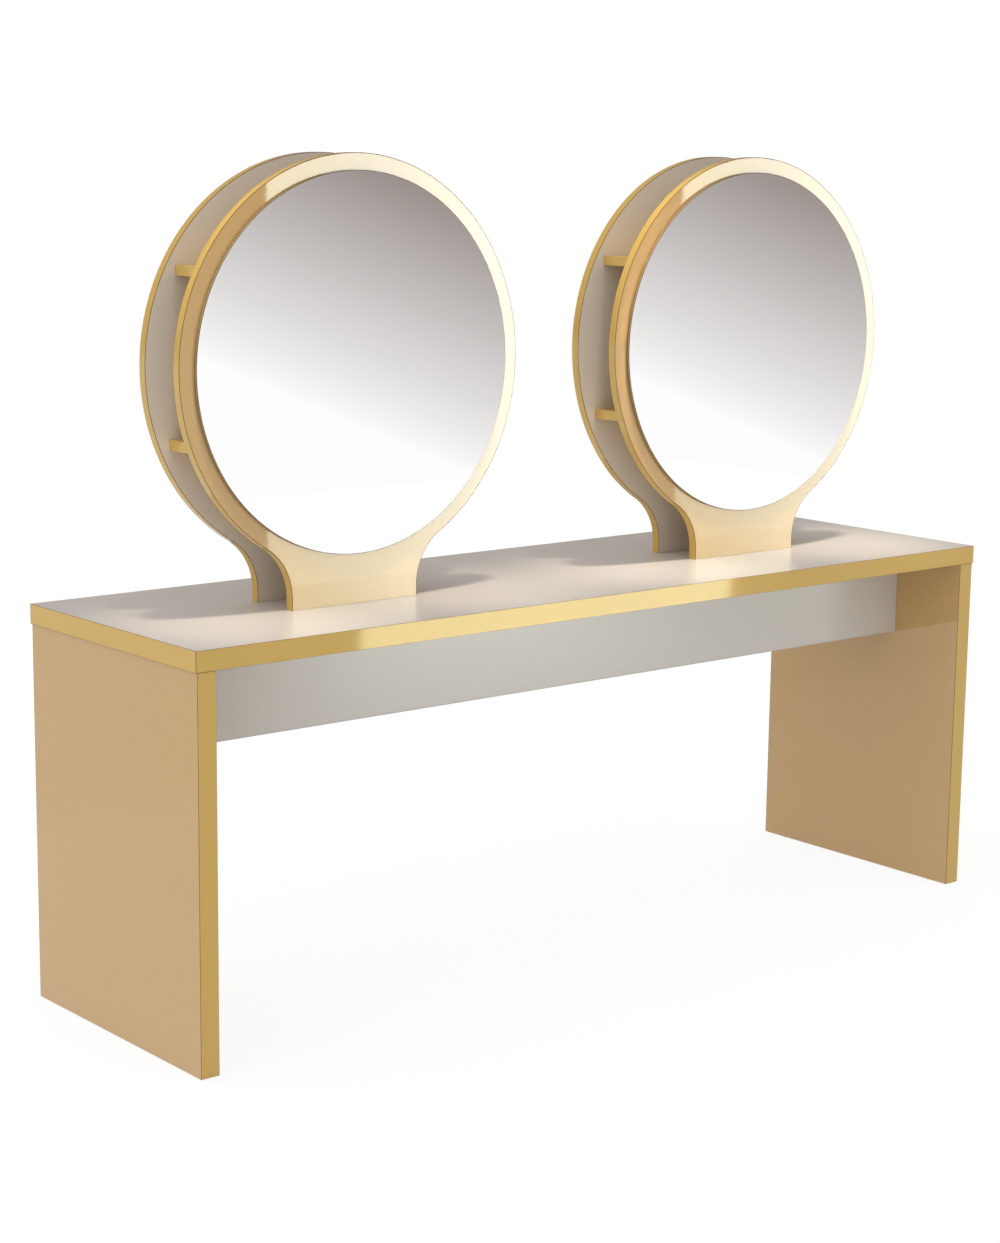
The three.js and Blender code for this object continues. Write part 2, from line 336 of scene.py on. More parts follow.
# Acrylic foam tape: closed cells cut through at its edge, dull and dark
def foamTape():
    look = tapeLook
    material, tree = startMaterial("acrylic foam tape")
    place = addNode(tree, "ShaderNodeTexCoord")
    cell = addNode(tree, "ShaderNodeTexVoronoi", {
        "Vector": (place, "Object"), "Scale": perMetre(look["cellMm"])})
    colour = addNode(tree, "ShaderNodeMix", {
        0: (cell, "Distance"), 6: linear(look["deep"]), 7: linear(look["pale"])}, data_type="RGBA")
    pore = addNode(tree, "ShaderNodeBump", {
        "Height": (cell, "Distance"), "Strength": look["cellStrength"],
        "Distance": look["cellDepthMm"] * mm})
    shader = addNode(tree, "ShaderNodeBsdfPrincipled", {
        "Base Color": (colour, 2), "Roughness": look["roughness"], "Normal": (pore, "Normal")})
    addNode(tree, "ShaderNodeOutputMaterial", {"Surface": (shader, "BSDF")})
    return material


zincLook = {"deep": "9aa0a5", "pale": "c3c7c8", "spangleMm": 2.2, "smooth": 0.24, "dull": 0.42}


# Zinc-plated steel: bright passivated plate over pressed steel, with a cloudy change of gloss
def zincSteel():
    look = zincLook
    material, tree = startMaterial("zinc plated steel")
    place = addNode(tree, "ShaderNodeTexCoord")
    cloud = addNode(tree, "ShaderNodeTexNoise", {
        "Vector": (place, "Object"), "Scale": perMetre(look["spangleMm"]), "Detail": 4.0})
    colour = addNode(tree, "ShaderNodeMix", {
        0: (cloud, "Fac"), 6: linear(look["deep"]), 7: linear(look["pale"])}, data_type="RGBA")
    roughness = addNode(tree, "ShaderNodeMapRange", {
        "Value": (cloud, "Fac"), "To Min": look["smooth"], "To Max": look["dull"]})
    shader = addNode(tree, "ShaderNodeBsdfPrincipled", {
        "Base Color": (colour, 2), "Metallic": 1.0, "Roughness": (roughness, "Result")})
    addNode(tree, "ShaderNodeOutputMaterial", {"Surface": (shader, "BSDF")})
    return material


padLook = {
    "deep": "19191b",
    "pale": "26262a",
    "grainMm": 0.7,
    "grainDepthMm": 0.05,
    "grainStrength": 0.5,
    "roughness": 0.55,
    "ior": 1.53,
}


# Moulded nylon: spark-eroded mould grain, so a fine even dullness with no clear reflection
def mouldedNylon():
    look = padLook
    material, tree = startMaterial("moulded black nylon")
    place = addNode(tree, "ShaderNodeTexCoord")
    grain = addNode(tree, "ShaderNodeTexNoise", {
        "Vector": (place, "Object"), "Scale": perMetre(look["grainMm"]), "Detail": 2.0})
    colour = addNode(tree, "ShaderNodeMix", {
        0: (grain, "Fac"), 6: linear(look["deep"]), 7: linear(look["pale"])}, data_type="RGBA")
    bump = addNode(tree, "ShaderNodeBump", {
        "Height": (grain, "Fac"), "Strength": look["grainStrength"], "Distance": look["grainDepthMm"] * mm})
    shader = addNode(tree, "ShaderNodeBsdfPrincipled", {
        "Base Color": (colour, 2), "Roughness": look["roughness"], "IOR": look["ior"],
        "Normal": (bump, "Normal")})
    addNode(tree, "ShaderNodeOutputMaterial", {"Surface": (shader, "BSDF")})
    return material


gold = goldLaminate()
bandGold = goldBand()
brown = milledAbs()
melamine = whiteMelamine("white melamine board", melamineLook)
# the lining's lighter, warmer white is painted bounce light from the gold faces
lining = whiteMelamine("melamine lining with painted warm bounce light", liningPaintedBounceLook)
silver = silveredGlass()
# the glass edge's gold is a painted reflection of the board beside it
paneEdge = glassEdge("polished glass edge with painted gold reflection", glassEdgePaintedGoldLook)
paneArris = glassEdge("ground glass arris", glassArrisLook)
backing = mirrorBacking()
foam = foamTape()
zinc = zincSteel()
nylon = mouldedNylon()
print("materials made:", len(bpy.data.materials))


# Mesh helpers

# turns a bmesh into a shown piece: smooth faces, with creases kept sharp and big faces kept flat
def makePiece(name, form, materials, creaseDegrees=40):
    bmesh.ops.recalc_face_normals(form, faces=form.faces)
    mesh = bpy.data.meshes.new(name)
    form.to_mesh(mesh)
    form.free()
    mesh.shade_smooth()
    mesh.set_sharp_from_angle(angle=math.radians(creaseDegrees))
    for material in materials:
        mesh.materials.append(material)
    piece = bpy.data.objects.new(name, mesh)
    scene.collection.objects.link(piece)
    flat = piece.modifiers.new("flatFaces", "WEIGHTED_NORMAL")
    flat.keep_sharp = True
    return piece


def fit(piece, body, slotName, *replacedNodes):
    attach(piece, body)
    if replacedNodes:
        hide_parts(*replacedNodes)


# one material for a CAD piece that is shown as it is
def dress(node, material):
    nodes[node].data.materials.clear()
    nodes[node].data.materials.append(material)


# a board between two corners, with a small rounded arris in its last material
def board(name, low, high, radius, materials):
    form = bmesh.new()
    bmesh.ops.create_cube(form, size=1)
    size = high - low
    bmesh.ops.scale(form, vec=size, verts=form.verts)
    bmesh.ops.translate(form, vec=(low + high) / 2, verts=form.verts)
    bmesh.ops.bevel(
        form, geom=form.edges[:], offset=radius, segments=3, profile=0.5, affect="EDGES",
        material=len(materials) - 1)
    return makePiece(name, form, materials)


def fullTurn(steps):
    return [2 * math.pi * i / steps for i in range(steps)]


def ring(form, points):
    return [form.verts.new(p) for p in points]


# a level ring round a centre, from one radius for each step of a full turn
def levelRing(form, centre, radii, z):
    angles = fullTurn(len(radii))
    return ring(form, [
        centre + Vector((radius * math.cos(a), radius * math.sin(a), z))
        for radius, a in zip(radii, angles)])


def bridge(form, a, b, closed=True):
    count = len(a) if closed else len(a) - 1
    return [form.faces.new((a[i], a[(i + 1) % len(a)], b[(i + 1) % len(b)], b[i])) for i in range(count)]


# a skin over a row of rings, with a cap at each end
def loft(form, rings):
    for a, b in zip(rings, rings[1:]):
        bridge(form, a, b)
    form.faces.new(rings[0])
    form.faces.new(rings[-1])


# a rounded corner as (radius, height) points, from one direction to another
def corner(centreA, centreB, radius, fromDegrees, toDegrees, steps=5):
    angles = [math.radians(fromDegrees + (toDegrees - fromDegrees) * i / steps) for i in range(steps + 1)]
    return [(centreA + radius * math.cos(a), centreB + radius * math.sin(a)) for a in angles]


# how far a hexagon reaches in one direction, from how far its corners do
def hexagonReach(corners, angle):
    side = math.pi / 3
    return corners * math.cos(side / 2) / math.cos((angle % side) - side / 2)


# Boards and edge bands of the table

arris = {"band": 0.45 * mm, "board": 0.4 * mm, "crossBoard": 0.7 * mm}


def addTable():
    dress("table_top", melamine)
    for end in ends:
        dress(f"leg_{end}", gold)
    bandNodes = [f"top_band_{edge}" for edge in (*ends, *sides)]
    bandNodes += [f"leg_band_{end}_{side}" for end in ends for side in sides]
    for node in bandNodes:
        low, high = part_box(node)
        edge = board(f"edge_{node}", low, high, arris["band"], [bandGold, brown])
        fit(edge, "station", "gold_band", node)
    for side in sides:
        low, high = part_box(f"apron_{side}")
        apron = board(f"white_apron_{side}", low, high, arris["board"], [melamine])
        fit(apron, "station", "white_board", f"apron_{side}")
        low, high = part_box(f"apron_band_{side}")
        edge = board(f"edge_apron_band_{side}", low, high, arris["board"], [melamine])
        fit(edge, "station", "white_band", f"apron_band_{side}")


addTable()
print("table dressed")

# Mirror units

mirrorBoard = {
    "footWidth": 287 * mm,
    "footFillet": 112 * mm,
    "rimSteps": 240,
    "filletSteps": 24,
    "faceArris": 0.25 * mm,
    "bandArris": 0.8 * mm,
    "bandArrisSteps": 3,
    "glassSteps": 240,
    "glassArris": 1.0 * mm,
}


# keyhole outline in X and Z round a unit's middle, inset by a margin,
# from the foot's right end to its left end
def keyhole(middleX, footZ, centreZ, rimRadius, inset):
    half = mirrorBoard["footWidth"] / 2 - inset
    radius = rimRadius - inset
    fillet = mirrorBoard["footFillet"] + inset
    filletX = half + fillet
    filletZ = centreZ - math.sqrt((radius + fillet) ** 2 - filletX ** 2)
    tangent = math.atan2(filletZ - centreZ, filletX)
    filletSteps = mirrorBoard["filletSteps"]
    hollow = [math.pi + tangent * i / filletSteps for i in range(filletSteps)]
    rightSide = [(half, footZ)]
    rightSide += [(filletX + fillet * math.cos(a), filletZ + fillet * math.sin(a)) for a in hollow]
    rimSteps = mirrorBoard["rimSteps"]
    turn = [tangent + (math.pi - 2 * tangent) * i / rimSteps for i in range(rimSteps + 1)]
    rim = [(radius * math.cos(a), centreZ + radius * math.sin(a)) for a in turn]
    leftSide = [(-x, z) for x, z in reversed(rightSide)]
    return [(middleX + x, z) for x, z in rightSide + rim + leftSide]


# a plate with the keyhole outline, from (inset, y) rings between two capped faces
def keyholePlate(outline, rings):
    form = bmesh.new()
    loft(form, [ring(form, [(x, y, z) for x, z in outline(inset)]) for inset, y in rings])
    return form


# a strip that runs round the keyhole outline, from a closed section of (inset, y) points with milled corners
def keyholeStrip(outline, plain, corners):
    form = bmesh.new()
    section = plain + [point for points in corners for point in points]
    loops = [ring(form, [(x, y, z) for x, z in outline(inset)]) for inset, y in section]
    milled = {(a, b) for points in corners for a, b in zip(points, points[1:])}
    for k, loop in enumerate(loops):
        after = (k + 1) % len(loops)
        for face in bridge(form, loop, loops[after], closed=False):
            face.material_index = 1 if (section[k], section[after]) in milled else 0
    form.faces.new([loop[0] for loop in loops])
    form.faces.new([loop[-1] for loop in loops])
    return form


# a pane of glass with ground edges: silver in front, polished round the edge, painted behind
def pane(name, centre, radius, depth, facing):
    form = bmesh.new()
    edge = mirrorBoard["glassArris"]
    profile = [(radius - edge, 0), (radius, edge), (radius, depth - edge / 2), (radius - edge / 2, depth)]
    loops = []
    for r, back in profile:
        loops.append(ring(form, [
            (centre.x + r * math.cos(a), centre.y - facing * back, centre.z + r * math.sin(a))
            for a in fullTurn(mirrorBoard["glassSteps"])]))
    for index, (a, b) in enumerate(zip(loops, loops[1:])):
        for face in bridge(form, a, b):
            face.material_index = 1 if index == 0 else 2
    form.faces.new(loops[0]).material_index = 0
    form.faces.new(loops[-1]).material_index = 3
    return makePiece(name, form, [silver, paneArris, paneEdge, backing], creaseDegrees=25)


def addMirror(end, side):
    tag = f"{end}_{side}"
    facing = outward[side]
    bandLow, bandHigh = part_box(f"mirror_band_{tag}")
    glassLow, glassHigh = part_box(f"mirror_glass_{tag}")
    middle = (glassLow + glassHigh) / 2
    rimRadius = bandHigh.z - middle.z
    boardInset = bandHigh.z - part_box(f"mirror_board_{tag}")[1].z

    def outline(inset):
        return keyhole(middle.x, bandLow.z, middle.z, rimRadius, inset)

    def plate(node, edge):
        low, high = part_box(node)
        return keyholePlate(outline, [
            (boardInset + edge, low.y), (boardInset, low.y + edge),
            (boardInset, high.y - edge), (boardInset + edge, high.y)])

    # white core
    core = plate(f"mirror_board_{tag}", arris["board"])
    fit(makePiece(f"white_core_{tag}", core, [lining]), "station", "white_board", f"mirror_board_{tag}")

    # gold face
    face = plate(f"mirror_face_{tag}", mirrorBoard["faceArris"])
    fit(makePiece(f"gold_face_{tag}", face, [gold]), "station", "gold_laminate", f"mirror_face_{tag}")

    # edge band, as thick as the table's, with its two outer arrises rounded
    tableBandLow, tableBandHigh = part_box("top_band_left")
    depth = tableBandHigh.x - tableBandLow.x
    edge = mirrorBoard["bandArris"]
    steps = mirrorBoard["bandArrisSteps"]
    plain = [(depth, bandLow.y), (depth, bandHigh.y)]
    corners = [
        corner(edge, bandHigh.y - edge, edge, 90, 180, steps),
        corner(edge, bandLow.y + edge, edge, 180, 270, steps),
    ]
    rim = makePiece(f"gold_rim_{tag}", keyholeStrip(outline, plain, corners), [bandGold, brown])
    fit(rim, "station", "gold_band", f"mirror_band_{tag}")

    # glass on its tape
    radius = (glassHigh.z - glassLow.z) / 2
    front = Vector((middle.x, glassLow.y if facing < 0 else glassHigh.y, middle.z))
    glass = pane(f"round_mirror_{tag}", front, radius, glassHigh.y - glassLow.y, facing)
    fit(glass, "station", "mirror_glass", f"mirror_glass_{tag}")
    dress(f"mirror_tape_{tag}", foam)


for end in ends:
    for side in sides:
        addMirror(end, side)
for end in ends:
    for level in ("upper", "lower"):
        low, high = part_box(f"cross_board_{end}_{level}")
        bar = board(f"gold_cross_board_{end}_{level}", low, high, arris["crossBoard"], [bandGold])
        fit(bar, "station", "gold_board", f"cross_board_{end}_{level}")
print("mirror units made")

# Bolts under the table top

bolt = {
    "dome": 1.4 * mm,  # height of the domed part of the head
    "domeSteps": 6,
    "headGap": 0.3 * mm,  # between the head and the table top
    "shankRadius": 3 * mm,
    "socketAcross": 5 * mm,
    "socketDepth": 2.2 * mm,
    "socketRim": 1.2,  # where the dome starts, in socket radii
    "steps": 48,
}


# a button head with a hexagon socket in its underside, on a plain shank
def addBolt(node):
    low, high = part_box(node)
    centre = Vector(((low.x + high.x) / 2, (low.y + high.y) / 2, 0))
    headRadius = (high.x - low.x) / 2
    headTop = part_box("table_top")[0].z - bolt["headGap"]
    shank = bolt["shankRadius"]
    socket = bolt["socketAcross"] / math.sqrt(3)
    crown = socket * bolt["socketRim"]
    domeEdge = low.z + bolt["dome"]
    steps = bolt["steps"]
    form = bmesh.new()
    hexagon = [hexagonReach(socket, a) for a in fullTurn(steps)]
    rings = [levelRing(form, centre, hexagon, z) for z in (low.z + bolt["socketDepth"], low.z)]
    outline = []
    for i in range(bolt["domeSteps"] + 1):
        t = math.radians(90 * i / bolt["domeSteps"])
        outline.append((crown + (headRadius - crown) * math.sin(t), domeEdge - bolt["dome"] * math.cos(t)))
    outline += [(headRadius, headTop), (shank, headTop), (shank, high.z)]
    rings += [levelRing(form, centre, [radius] * steps, z) for radius, z in outline]
    loft(form, rings)
    piece = makePiece(node.replace("mirror_bolt", "button_bolt"), form, [zinc], creaseDegrees=35)
    fit(piece, "station", "zinc_steel", node)


for end in ends:
    for side in sides:
        for number in (1, 2):
            addBolt(f"mirror_bolt_{end}_{side}_{number}")
print("bolts made")

# Corner brackets with their screws

bracket = {
    "gauge": 2.5 * mm,
    "arris": 0.5 * mm,
    "screwRadius": 4.2 * mm,
    "screwRise": 2.0 * mm,
    "screwInset": 20 * mm,  # from the free edges of a plate
    # outline of a screw head up to its recess, in shares of its radius and its rise
    "screwOutline": ((1, 0), (1, 0.35), (0.93, 0.7), (0.72, 0.93), (0.4, 1)),
    "recessRadii": (0.3, 0.08),  # at the recess's shoulder and its point
    "recessStep": 0.5 * mm,
    "steps": 32,
}


# a pan head screw on a bracket plate, standing up along one axis
def screwHead(form, seat, along):
    turn = Vector((0, 0, 1)).rotation_difference(along).to_matrix()
    radius = bracket["screwRadius"]
    rise = bracket["screwRise"]
    outline = [(radius * across, rise * up) for across, up in bracket["screwOutline"]]
    for step, across in enumerate(bracket["recessRadii"], start=1):
        outline.append((radius * across, rise - step * bracket["recessStep"]))
    rings = []
    for r, h in outline:
        rings.append(ring(form, [
            seat + turn @ Vector((r * math.cos(a), r * math.sin(a), h))
            for a in fullTurn(bracket["steps"])]))
    loft(form, rings)


# three plates at right angles, as one closed sheet-metal corner
def addBracket(end, side):
    node = f"corner_bracket_{end}_{side}"
    low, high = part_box(node)
    inwards = Vector((-1 if end == "right" else 1, -outward[side], -1))
    root = Vector([far if way < 0 else near for near, far, way in zip(low, high, inwards)])
    arm = high.z - low.z
    gauge = bracket["gauge"]
    form = bmesh.new()

    # a point that is one distance from the root along one axis, and another along the other two
    def place(alone, others, axis):
        moves = [others] * 3
        moves[axis] = alone
        return form.verts.new(root + Vector([move * way for move, way in zip(moves, inwards)]))

    tip = place(0, 0, 0)
    heart = place(gauge, gauge, 0)
    outerEnds = [place(arm, 0, axis) for axis in range(3)]
    outerCorners = [place(0, arm, axis) for axis in range(3)]
    innerEnds = [place(arm, gauge, axis) for axis in range(3)]
    innerCorners = [place(gauge, arm, axis) for axis in range(3)]
    for k in range(3):
        i = (k + 1) % 3
        j = (k + 2) % 3
        form.faces.new((tip, outerEnds[i], outerCorners[k], outerEnds[j]))
        form.faces.new((heart, innerEnds[i], innerCorners[k], innerEnds[j]))
        form.faces.new((
            outerEnds[k], outerCorners[j], innerCorners[j], innerEnds[k], innerCorners[i], outerCorners[i]))
    bmesh.ops.recalc_face_normals(form, faces=form.faces[:])
    bmesh.ops.bevel(
        form, geom=form.edges[:], offset=bracket["arris"], segments=2, profile=0.5, affect="EDGES")
    piece = makePiece(f"steel_bracket_{end}_{side}", form, [zinc])
    fit(piece, "station", "zinc_steel", node)
    # one screw in each plate
    screws = bmesh.new()
    far = arm - bracket["screwInset"]
    seats = (
        (Vector((gauge, far, far)), Vector((inwards.x, 0, 0))),
        (Vector((far, gauge, far)), Vector((0, inwards.y, 0))),
        (Vector((far, far, gauge)), Vector((0, 0, inwards.z))),
    )
    for offset, along in seats:
        screwHead(screws, root + inwards * offset, along)
    heads = makePiece(f"bracket_screws_{end}_{side}", screws, [zinc], creaseDegrees=35)
    fit(heads, "station", "zinc_steel")


for end in ends:
    for side in sides:
        addBracket(end, side)
print("brackets made")

# Levelling feet

foot = {
    "padRound": 1.2 * mm,
    "padDish": 0.6 * mm,  # hollow in the underside, so that the rim touches first
    "dishFloor": 0.55,  # edges of that hollow, in shares of the pad's radius
    "dishRim": 0.62,
    "padSteps": 64,
    "studRadius": 4 * mm,
    "studSteps": 36,
    "pitch": 1.25 * mm,
    "threadDepth": 0.55 * mm,
    "ringsPerTurn": 8,
    "flange": 3 * mm,
}


def addPad(tag):
    low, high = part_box(f"foot_pad_{tag}")
    centre = Vector(((low.x + high.x) / 2, (low.y + high.y) / 2, low.z))
    radius = (high.x - low.x) / 2
    height = high.z - low.z
    r = foot["padRound"]
    profile = [(radius * foot["dishFloor"], foot["padDish"]), (radius * foot["dishRim"], 0)]
    profile += corner(radius - r, r, r, -90, 0)
    profile += corner(radius - r, height - r, r, 0, 90)
    form = bmesh.new()
    loft(form, [levelRing(form, centre, [reach] * foot["padSteps"], z) for reach, z in profile])
    pad = makePiece(f"foot_glide_{tag}", form, [nylon], creaseDegrees=35)
    fit(pad, f"pad_{tag}", "foot_plastic", f"foot_pad_{tag}")


# a threaded stud: the radius follows a helix, so that turning it shows
def addStud(tag):
    low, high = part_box(f"foot_stud_{tag}")
    centre = Vector(((low.x + high.x) / 2, (low.y + high.y) / 2, 0))
    flangeRadius = (high.x - low.x) / 2
    flangeTop = low.z + foot["flange"]
    angles = fullTurn(foot["studSteps"])
    form = bmesh.new()
    spanner = [hexagonReach(flangeRadius, a) for a in angles]
    rings = [levelRing(form, centre, spanner, z) for z in (low.z, flangeTop)]
    turns = (high.z - flangeTop) / foot["pitch"]
    count = int(turns * foot["ringsPerTurn"])
    for k in range(count + 1):
        z = flangeTop + (high.z - flangeTop) * k / count
        radii = []
        for a in angles:
            phase = ((z - flangeTop) / foot["pitch"] - a / (2 * math.pi)) % 1
            radii.append(foot["studRadius"] - foot["threadDepth"] * (1 - abs(2 * phase - 1)))
        rings.append(levelRing(form, centre, radii, z))
    loft(form, rings)
    stud = makePiece(f"threaded_stud_{tag}", form, [zinc], creaseDegrees=50)
    fit(stud, f"stud_{tag}", "zinc_steel", f"foot_stud_{tag}")


for end in ends:
    for side in sides:
        addPad(f"{end}_{side}")
        addStud(f"{end}_{side}")
print("feet made")

# Studio

studio = {
    "floorSize": 12,  # metres
    "floorColour": "f6f4f1",
    "floorGlow": 0.883,  # what the camera sees of the floor without its shadow
    "floorShadow": 0.16,
    "floorBack": 1.4,  # behind this the floor looks dimmer in reflections
    "floorBlend": 0.15,
    "floorNear": 1.05,
    "floorFar": 0.95,
    "ambient": 0.39,
    "ambientLeft": 0.4,  # more light from the left end
    "ambientFront": 0.05,
    "ambientTop": 0.66,
    "horizonGrey": "998e8a",
    "rampTop": 0.0,  # degrees above the horizon, where reflections are at their greyest
    "rampBottom": -6.06,
    "rampCurve": 0.82,  # a fade that is even to the eye, so it is steeper in light
    "tilt": 0.417,  # slope of that ramp across the view
    "tiltMiddle": 36.3,  # degrees from -Y towards +X
    "tiltReach": 6.0,
    "tiltStep": 9.1,
    "tiltStepAt": 41.25,
    "tiltStepBlend": 0.9,
}


# a pale floor: for lighting it is plain and matte, for the eye and for reflections it is nearly white
def addFloor():
    form = bmesh.new()
    bmesh.ops.create_grid(form, x_segments=1, y_segments=1, size=studio["floorSize"] / 2)
    mesh = bpy.data.meshes.new("studio_floor")
    form.to_mesh(mesh)
    form.free()
    floor = bpy.data.objects.new("studio_floor", mesh)
    scene.collection.objects.link(floor)
    back = studio["floorBack"]
    blend = studio["floorBlend"]
    material, tree = startMaterial("white studio floor")
    path = addNode(tree, "ShaderNodeLightPath")
    seen = addNode(tree, "ShaderNodeMath", {
        0: (path, "Is Camera Ray"), 1: (path, "Is Transmission Ray")}, operation="MAXIMUM")
    matte = addNode(tree, "ShaderNodeBsdfDiffuse", {"Color": linear(studio["floorColour"])})
    place = addNode(tree, "ShaderNodeTexCoord")
    split = addNode(tree, "ShaderNodeSeparateXYZ", {"Vector": (place, "Object")})
    bright = addNode(tree, "ShaderNodeMapRange", {
        "Value": (split, "Y"), "From Min": back - blend, "From Max": back + blend,
        "To Min": studio["floorNear"], "To Max": studio["floorFar"]}, interpolation_type="SMOOTHSTEP")
    mirrored = addNode(tree, "ShaderNodeEmission", {"Strength": (bright, "Result")})
    lower = addNode(tree, "ShaderNodeMixShader", {
        0: (path, "Is Glossy Ray"), 1: (matte, 0), 2: (mirrored, 0)})
    glow = addNode(tree, "ShaderNodeEmission", {"Strength": studio["floorGlow"]})
    shade = addNode(tree, "ShaderNodeBsdfDiffuse", {"Color": (*[studio["floorShadow"]] * 3, 1)})
    pale = addNode(tree, "ShaderNodeAddShader", {0: (glow, 0), 1: (shade, 0)})
    mixed = addNode(tree, "ShaderNodeMixShader", {0: (seen, "Value"), 1: (lower, 0), 2: (pale, 0)})
    addNode(tree, "ShaderNodeOutputMaterial", {"Surface": (mixed, 0)})
    mesh.materials.append(material)
    return floor


# White all round for the camera. For the surfaces soft light, most of it from above and from the left.
# For reflections a room that is white low down and fades to warm grey at eye level.
def addWorld():
    world = bpy.data.worlds.new("studio")
    scene.world = world
    world.use_nodes = True
    tree = world.node_tree
    tree.nodes.clear()
    white = linear("ffffff")
    stepAt = studio["tiltStepAt"]
    blend = studio["tiltStepBlend"]
    reach = studio["tiltReach"]
    path = addNode(tree, "ShaderNodeLightPath")
    place = addNode(tree, "ShaderNodeTexCoord")
    split = addNode(tree, "ShaderNodeSeparateXYZ", {"Vector": (place, "Generated")})
    height = addNode(tree, "ShaderNodeMath", {0: (split, "Z")}, operation="ARCSINE")
    height = addNode(tree, "ShaderNodeMath", {0: (height, "Value")}, operation="DEGREES")
    towards = addNode(tree, "ShaderNodeMath", {0: (split, "Y"), 1: -1.0}, operation="MULTIPLY")
    turn = addNode(tree, "ShaderNodeMath", {0: (split, "X"), 1: (towards, "Value")}, operation="ARCTAN2")
    turn = addNode(tree, "ShaderNodeMath", {0: (turn, "Value")}, operation="DEGREES")
    step = addNode(tree, "ShaderNodeMapRange", {
        "Value": (turn, "Value"), "From Min": stepAt - blend, "From Max": stepAt + blend,
        "To Max": studio["tiltStep"]}, interpolation_type="SMOOTHSTEP")
    across = addNode(tree, "ShaderNodeMath", {0: (turn, "Value"), 1: (step, "Result")}, operation="SUBTRACT")
    across = addNode(tree, "ShaderNodeMath", {
        0: (across, "Value"), 1: studio["tiltMiddle"]}, operation="SUBTRACT")
    across = addNode(tree, "ShaderNodeClamp", {"Value": (across, "Value"), "Min": -reach, "Max": reach})
    across = addNode(tree, "ShaderNodeMath", {
        0: (across, "Result"), 1: studio["tilt"]}, operation="MULTIPLY")
    level = addNode(tree, "ShaderNodeMath", {0: (height, "Value"), 1: (across, "Value")}, operation="ADD")
    fade = addNode(tree, "ShaderNodeMapRange", {
        "Value": (level, "Value"), "From Min": studio["rampBottom"], "From Max": studio["rampTop"]})
    even = addNode(tree, "ShaderNodeMath", {0: (fade, "Result"), 1: studio["rampCurve"]}, operation="POWER")
    room = addNode(tree, "ShaderNodeMix", {
        0: (even, "Value"), 6: white, 7: linear(studio["horizonGrey"])}, data_type="RGBA")
    roomLight = addNode(tree, "ShaderNodeBackground", {"Color": (room, 2), "Strength": 1.0})
    plain = addNode(tree, "ShaderNodeBackground", {"Color": white, "Strength": 1.0})
    lean = addNode(tree, "ShaderNodeVectorMath", {
        0: (place, "Generated"), 1: (-studio["ambientLeft"], -studio["ambientFront"], studio["ambientTop"])},
        operation="DOT_PRODUCT")
    lean = addNode(tree, "ShaderNodeMath", {0: (lean, "Value"), 1: studio["ambient"]}, operation="ADD")
    soft = addNode(tree, "ShaderNodeBackground", {"Color": white, "Strength": (lean, "Value")})
    glossy = addNode(tree, "ShaderNodeMixShader", {
        0: (path, "Is Glossy Ray"), 1: (soft, 0), 2: (roomLight, 0)})
    clear = addNode(tree, "ShaderNodeMath", {
        0: (path, "Is Camera Ray"), 1: (path, "Is Transmission Ray")}, operation="MAXIMUM")
    seen = addNode(tree, "ShaderNodeMixShader", {0: (clear, "Value"), 1: (glossy, 0), 2: (plain, 0)})
    addNode(tree, "ShaderNodeOutputWorld", {"Surface": (seen, 0)})


# the radiance and the tint of a strip change from one of its corners to the opposite one
lamps = {
    "leftStrip": {
        "x": (0.616, 1.6), "y": -2.0, "z": (0.3, 2.1),
        "radiance": (3.5, 15), "tints": ("f7ffe2", "d8ebff")},
    "rightStrip": {
        "x": (2.156, 3.4), "y": -2.0, "z": (0.3, 2.1),
        "radiance": (2.2, 15), "tints": ("f7ffe2", "d8ebff")},
    "frontStrip": {
        "x": (0.616, 1.98), "y": -2.0, "z": (0.12, 0.42),
        "radiance": (5.6, 5.6), "tints": ("ffffff", "ffffff")},
    "accent": {
        "aside": 0.27, "y": -0.1, "height": 2.3, "forward": 0.36, "size": 0.12, "colour": "fff3e2",
        "cone": 16, "blend": 1.0, "watts": {"left": 155, "right": 205}},
}


# four small spots over the table, one on each side of each front board's foot
def addAccents(receivers):
    settings = lamps["accent"]
    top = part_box("table_top")[1].z
    for end in ends:
        low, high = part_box(f"mirror_glass_{end}_front")
        for sign in (-1, 1):
            target = Vector(((low.x + high.x) / 2 + sign * settings["aside"], settings["y"], top))
            data = bpy.data.lights.new("accent", "SPOT")
            data.energy = settings["watts"][end]
            data.spot_size = math.radians(settings["cone"])
            data.spot_blend = settings["blend"]
            data.shadow_soft_size = settings["size"]
            data.color = linear(settings["colour"])[:3]
            lamp = bpy.data.objects.new("accent", data)
            lamp.location = target + Vector((0, -settings["forward"], settings["height"]))
            lamp.rotation_euler = (target - lamp.location).to_track_quat("-Z", "Y").to_euler()
            lamp.visible_camera = False
            lamp.visible_glossy = False
            scene.collection.objects.link(lamp)
            lamp.light_linking.receiver_collection = receivers


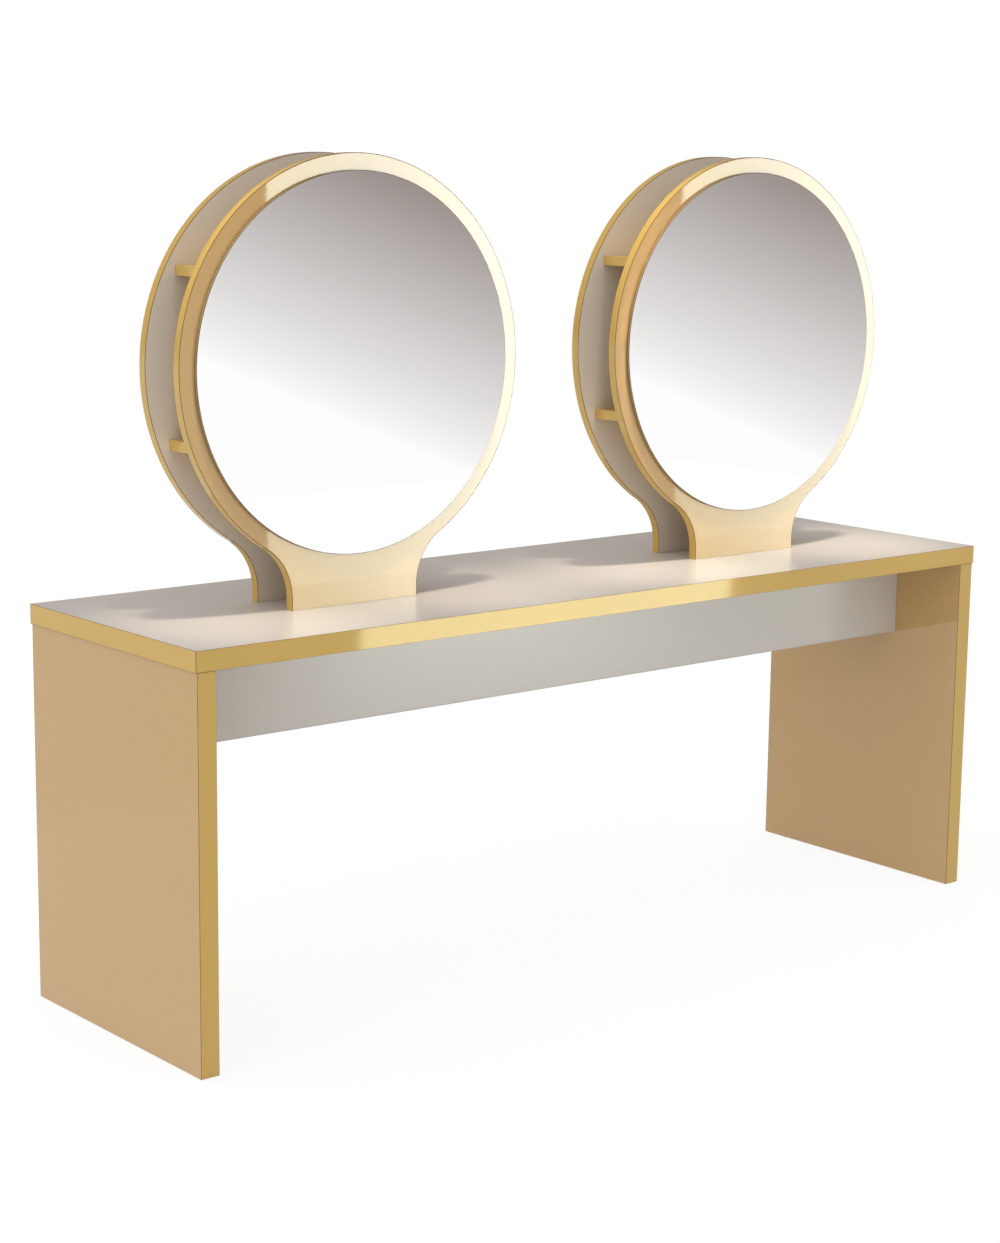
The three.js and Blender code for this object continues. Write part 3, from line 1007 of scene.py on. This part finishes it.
# a strip light that only makes reflections, on the fronts it is linked to
def addStrip(name, fronts, blockers=None):
    settings = lamps[name]
    width = settings["x"][1] - settings["x"][0]
    height = settings["z"][1] - settings["z"][0]
    data = bpy.data.lights.new(name, "AREA")
    data.shape = "RECTANGLE"
    data.size = width
    data.size_y = height
    data.energy = math.pi * width * height  # the radiance then doesn't depend on the size
    data.use_nodes = True
    tree = data.node_tree
    place = addNode(tree, "ShaderNodeNewGeometry")
    split = addNode(tree, "ShaderNodeSeparateXYZ", {0: (place, "Parametric")})
    both = addNode(tree, "ShaderNodeMath", {0: (split, "X"), 1: (split, "Y")}, operation="ADD")
    # X and Y each run from 0 to 1 over the lamp
    share = addNode(tree, "ShaderNodeMapRange", {"Value": (both, "Value"), "From Max": 2.0})
    rise = addNode(tree, "ShaderNodeMapRange", {
        "Value": (share, "Result"), "To Min": settings["radiance"][0], "To Max": settings["radiance"][1]})
    first, last = [linear(tint) for tint in settings["tints"]]
    tint = addNode(tree, "ShaderNodeMix", {0: (share, "Result"), 6: first, 7: last}, data_type="RGBA")
    emission = tree.nodes["Emission"]
    tree.links.new(rise.outputs["Result"], emission.inputs["Strength"])
    tree.links.new(tint.outputs[2], emission.inputs["Color"])
    lamp = bpy.data.objects.new(name, data)
    lamp.location = (sum(settings["x"]) / 2, settings["y"], sum(settings["z"]) / 2)
    lamp.rotation_euler = (math.radians(90), 0, 0)
    lamp.visible_camera = False
    lamp.visible_diffuse = False
    scene.collection.objects.link(lamp)
    lamp.light_linking.receiver_collection = fronts
    lamp.light_linking.blocker_collection = blockers


# a collection for light linking: a lamp lights, or is blocked by, only these things or all the others
def linkLight(name, things, state):
    group = bpy.data.collections.new(name)
    for thing in things:
        group.objects.link(thing)
    for entry in group.collection_objects:
        entry.light_linking.link_state = state
    return group


def addLamps(floor):
    shown = bpy.data.objects
    addAccents(linkLight("floor left out of the spots", [floor], "EXCLUDE"))
    faces = [shown[f"gold_face_{end}_front"] for end in ends] + [shown["white_apron_front"]]
    lit = linkLight("faces lit by the tall strips", faces, "INCLUDE")
    top = [nodes["table_top"], shown["edge_top_band_front"]]
    clear = linkLight("top that lets the tall strips through", top, "EXCLUDE")
    addStrip("leftStrip", lit, clear)
    addStrip("rightStrip", lit, clear)
    edges = [shown["edge_top_band_front"], shown["white_apron_front"]]
    addStrip("frontStrip", linkLight("fronts lit by the low strip", edges, "INCLUDE"))


floor = addFloor()
addWorld()
addLamps(floor)
print("studio lit")
